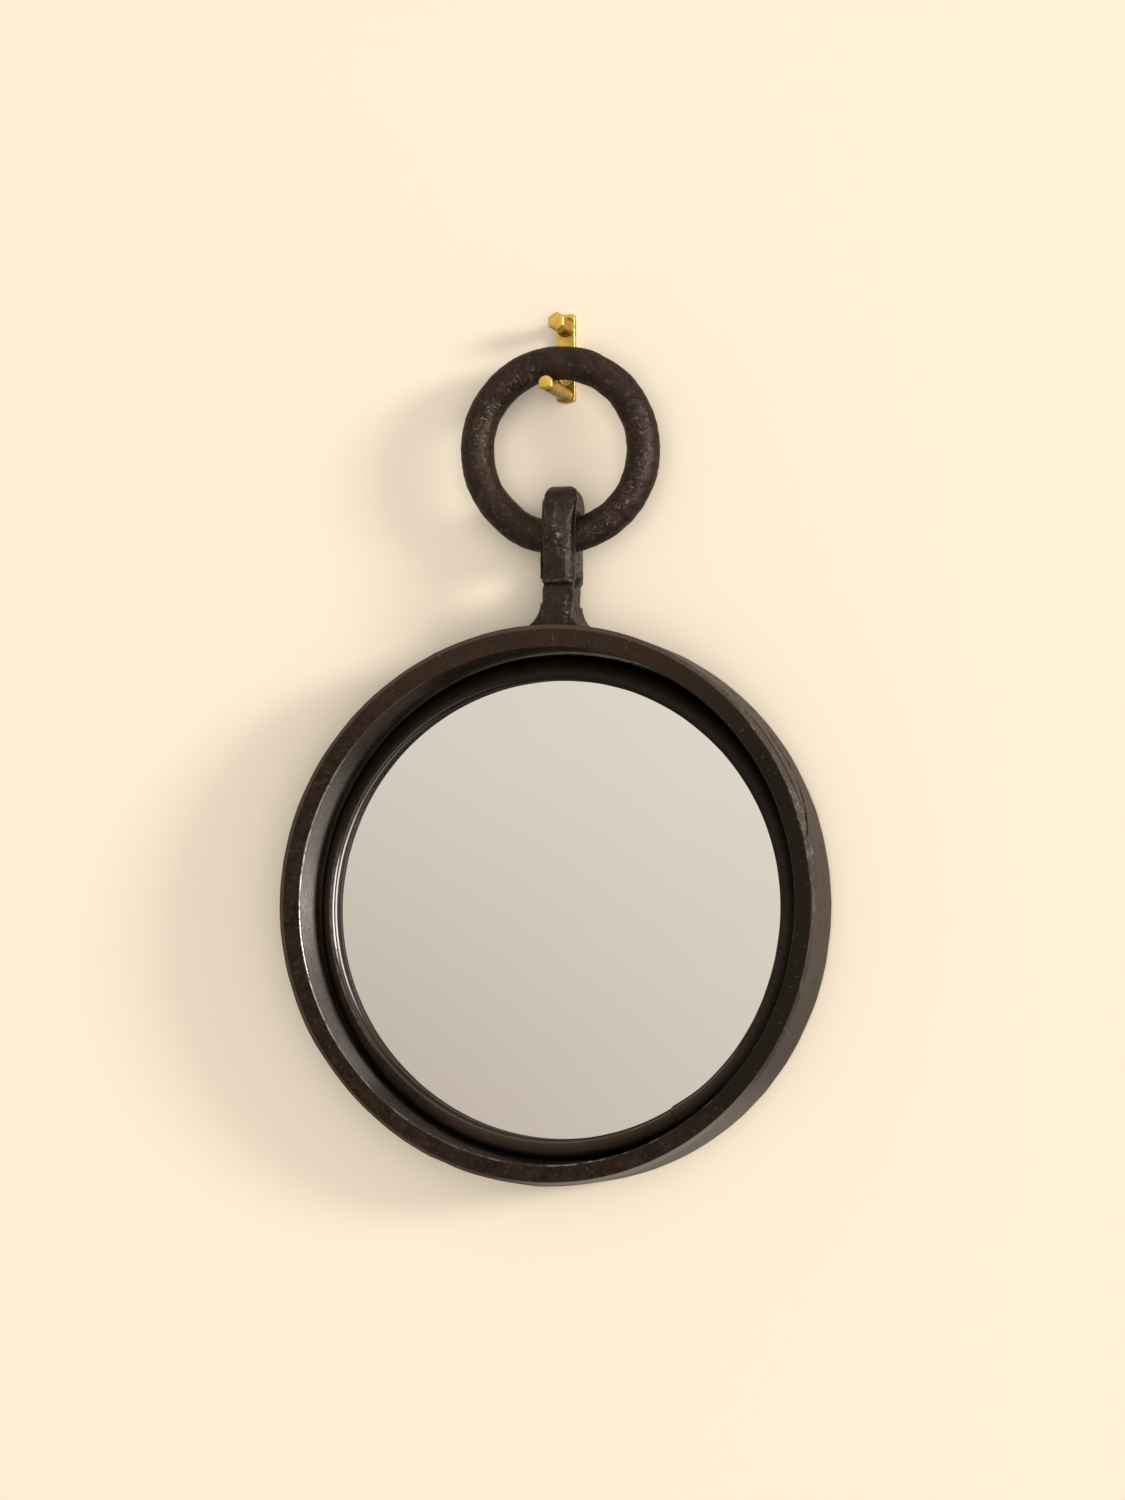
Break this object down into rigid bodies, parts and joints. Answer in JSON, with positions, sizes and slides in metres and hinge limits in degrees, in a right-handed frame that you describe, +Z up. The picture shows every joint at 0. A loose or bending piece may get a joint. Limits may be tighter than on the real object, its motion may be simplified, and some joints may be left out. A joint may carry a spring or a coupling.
{
  "type": "wrought iron wall mirror",
  "caption": "Round wall mirror in a deep forged iron hoop with an inner bead, hung by an eye from a forged ring on a small brass double wall hook.",
  "frame": {"origin": "middle of the wall hook's flat back face, on the wall", "axes": "+Y into the wall, +Z up, +X to the right of someone looking at the mirror, which faces -Y"},
  "size_m": [0.33, 0.0501, 0.5241],
  "materials": {
    "hook_brass": "polished, slightly aged",
    "ring_iron": "hammered and waxed",
    "eye_iron": "hammered and waxed",
    "hoop_iron": "forged, dark wax over scale",
    "bead_iron": "forged, dark wax over scale",
    "soft_tape": "matte",
    "silvered_glass": "polished",
    "grey_felt": "matte",
    "hardboard": "smooth, unpainted",
    "plated_steel": "zinc plated",
    "screw_steel": "zinc plated",
    "bumper_rubber": "matte"
  },
  "bodies": {
    "wall_hook": {"wall_hook": "hook_brass"},
    "hanging_ring": {"hanging_ring": "ring_iron"},
    "mirror": {"eye": "eye_iron", "outer_hoop": "hoop_iron", "bead_ring": "bead_iron", "glazing_tape": "soft_tape", "mirror_glass": "silvered_glass", "backing_pad": "grey_felt", "backing_board": "hardboard", "button_screw_1": "screw_steel", "button_screw_2": "screw_steel", "button_screw_3": "screw_steel", "button_screw_4": "screw_steel", "wall_bumper_1": "bumper_rubber", "wall_bumper_2": "bumper_rubber", "wall_bumper_3": "bumper_rubber"},
    "turn_button_1": {"turn_button_1": "plated_steel"},
    "turn_button_2": {"turn_button_2": "plated_steel"},
    "turn_button_3": {"turn_button_3": "plated_steel"},
    "turn_button_4": {"turn_button_4": "plated_steel"}
  },
  "joints": [
    {"name": "ring_swing", "type": "hinge", "parent": "wall_hook", "child": "hanging_ring", "pos_m": [0, -0.0273, -0.022], "axis": [0, 1, 0], "range_deg": [-30, 30]},
    {"name": "mirror_tilt", "type": "hinge", "parent": "hanging_ring", "child": "mirror", "pos_m": [0, -0.0273, -0.1121], "axis": [-1, 0, 0], "range_deg": [0, 45]},
    {"name": "button_turn_1", "type": "hinge", "parent": "mirror", "child": "turn_button_1", "pos_m": [0.10402, -0.0092, -0.22908], "axis": [0, 1, 0], "range_deg": [-90, 90]},
    {"name": "button_turn_2", "type": "hinge", "parent": "mirror", "child": "turn_button_2", "pos_m": [-0.10402, -0.0092, -0.22908], "axis": [0, 1, 0], "range_deg": [-90, 90]},
    {"name": "button_turn_3", "type": "hinge", "parent": "mirror", "child": "turn_button_3", "pos_m": [-0.10402, -0.0092, -0.43712], "axis": [0, 1, 0], "range_deg": [-90, 90]},
    {"name": "button_turn_4", "type": "hinge", "parent": "mirror", "child": "turn_button_4", "pos_m": [0.10402, -0.0092, -0.43712], "axis": [0, 1, 0], "range_deg": [-90, 90]}
  ]
}
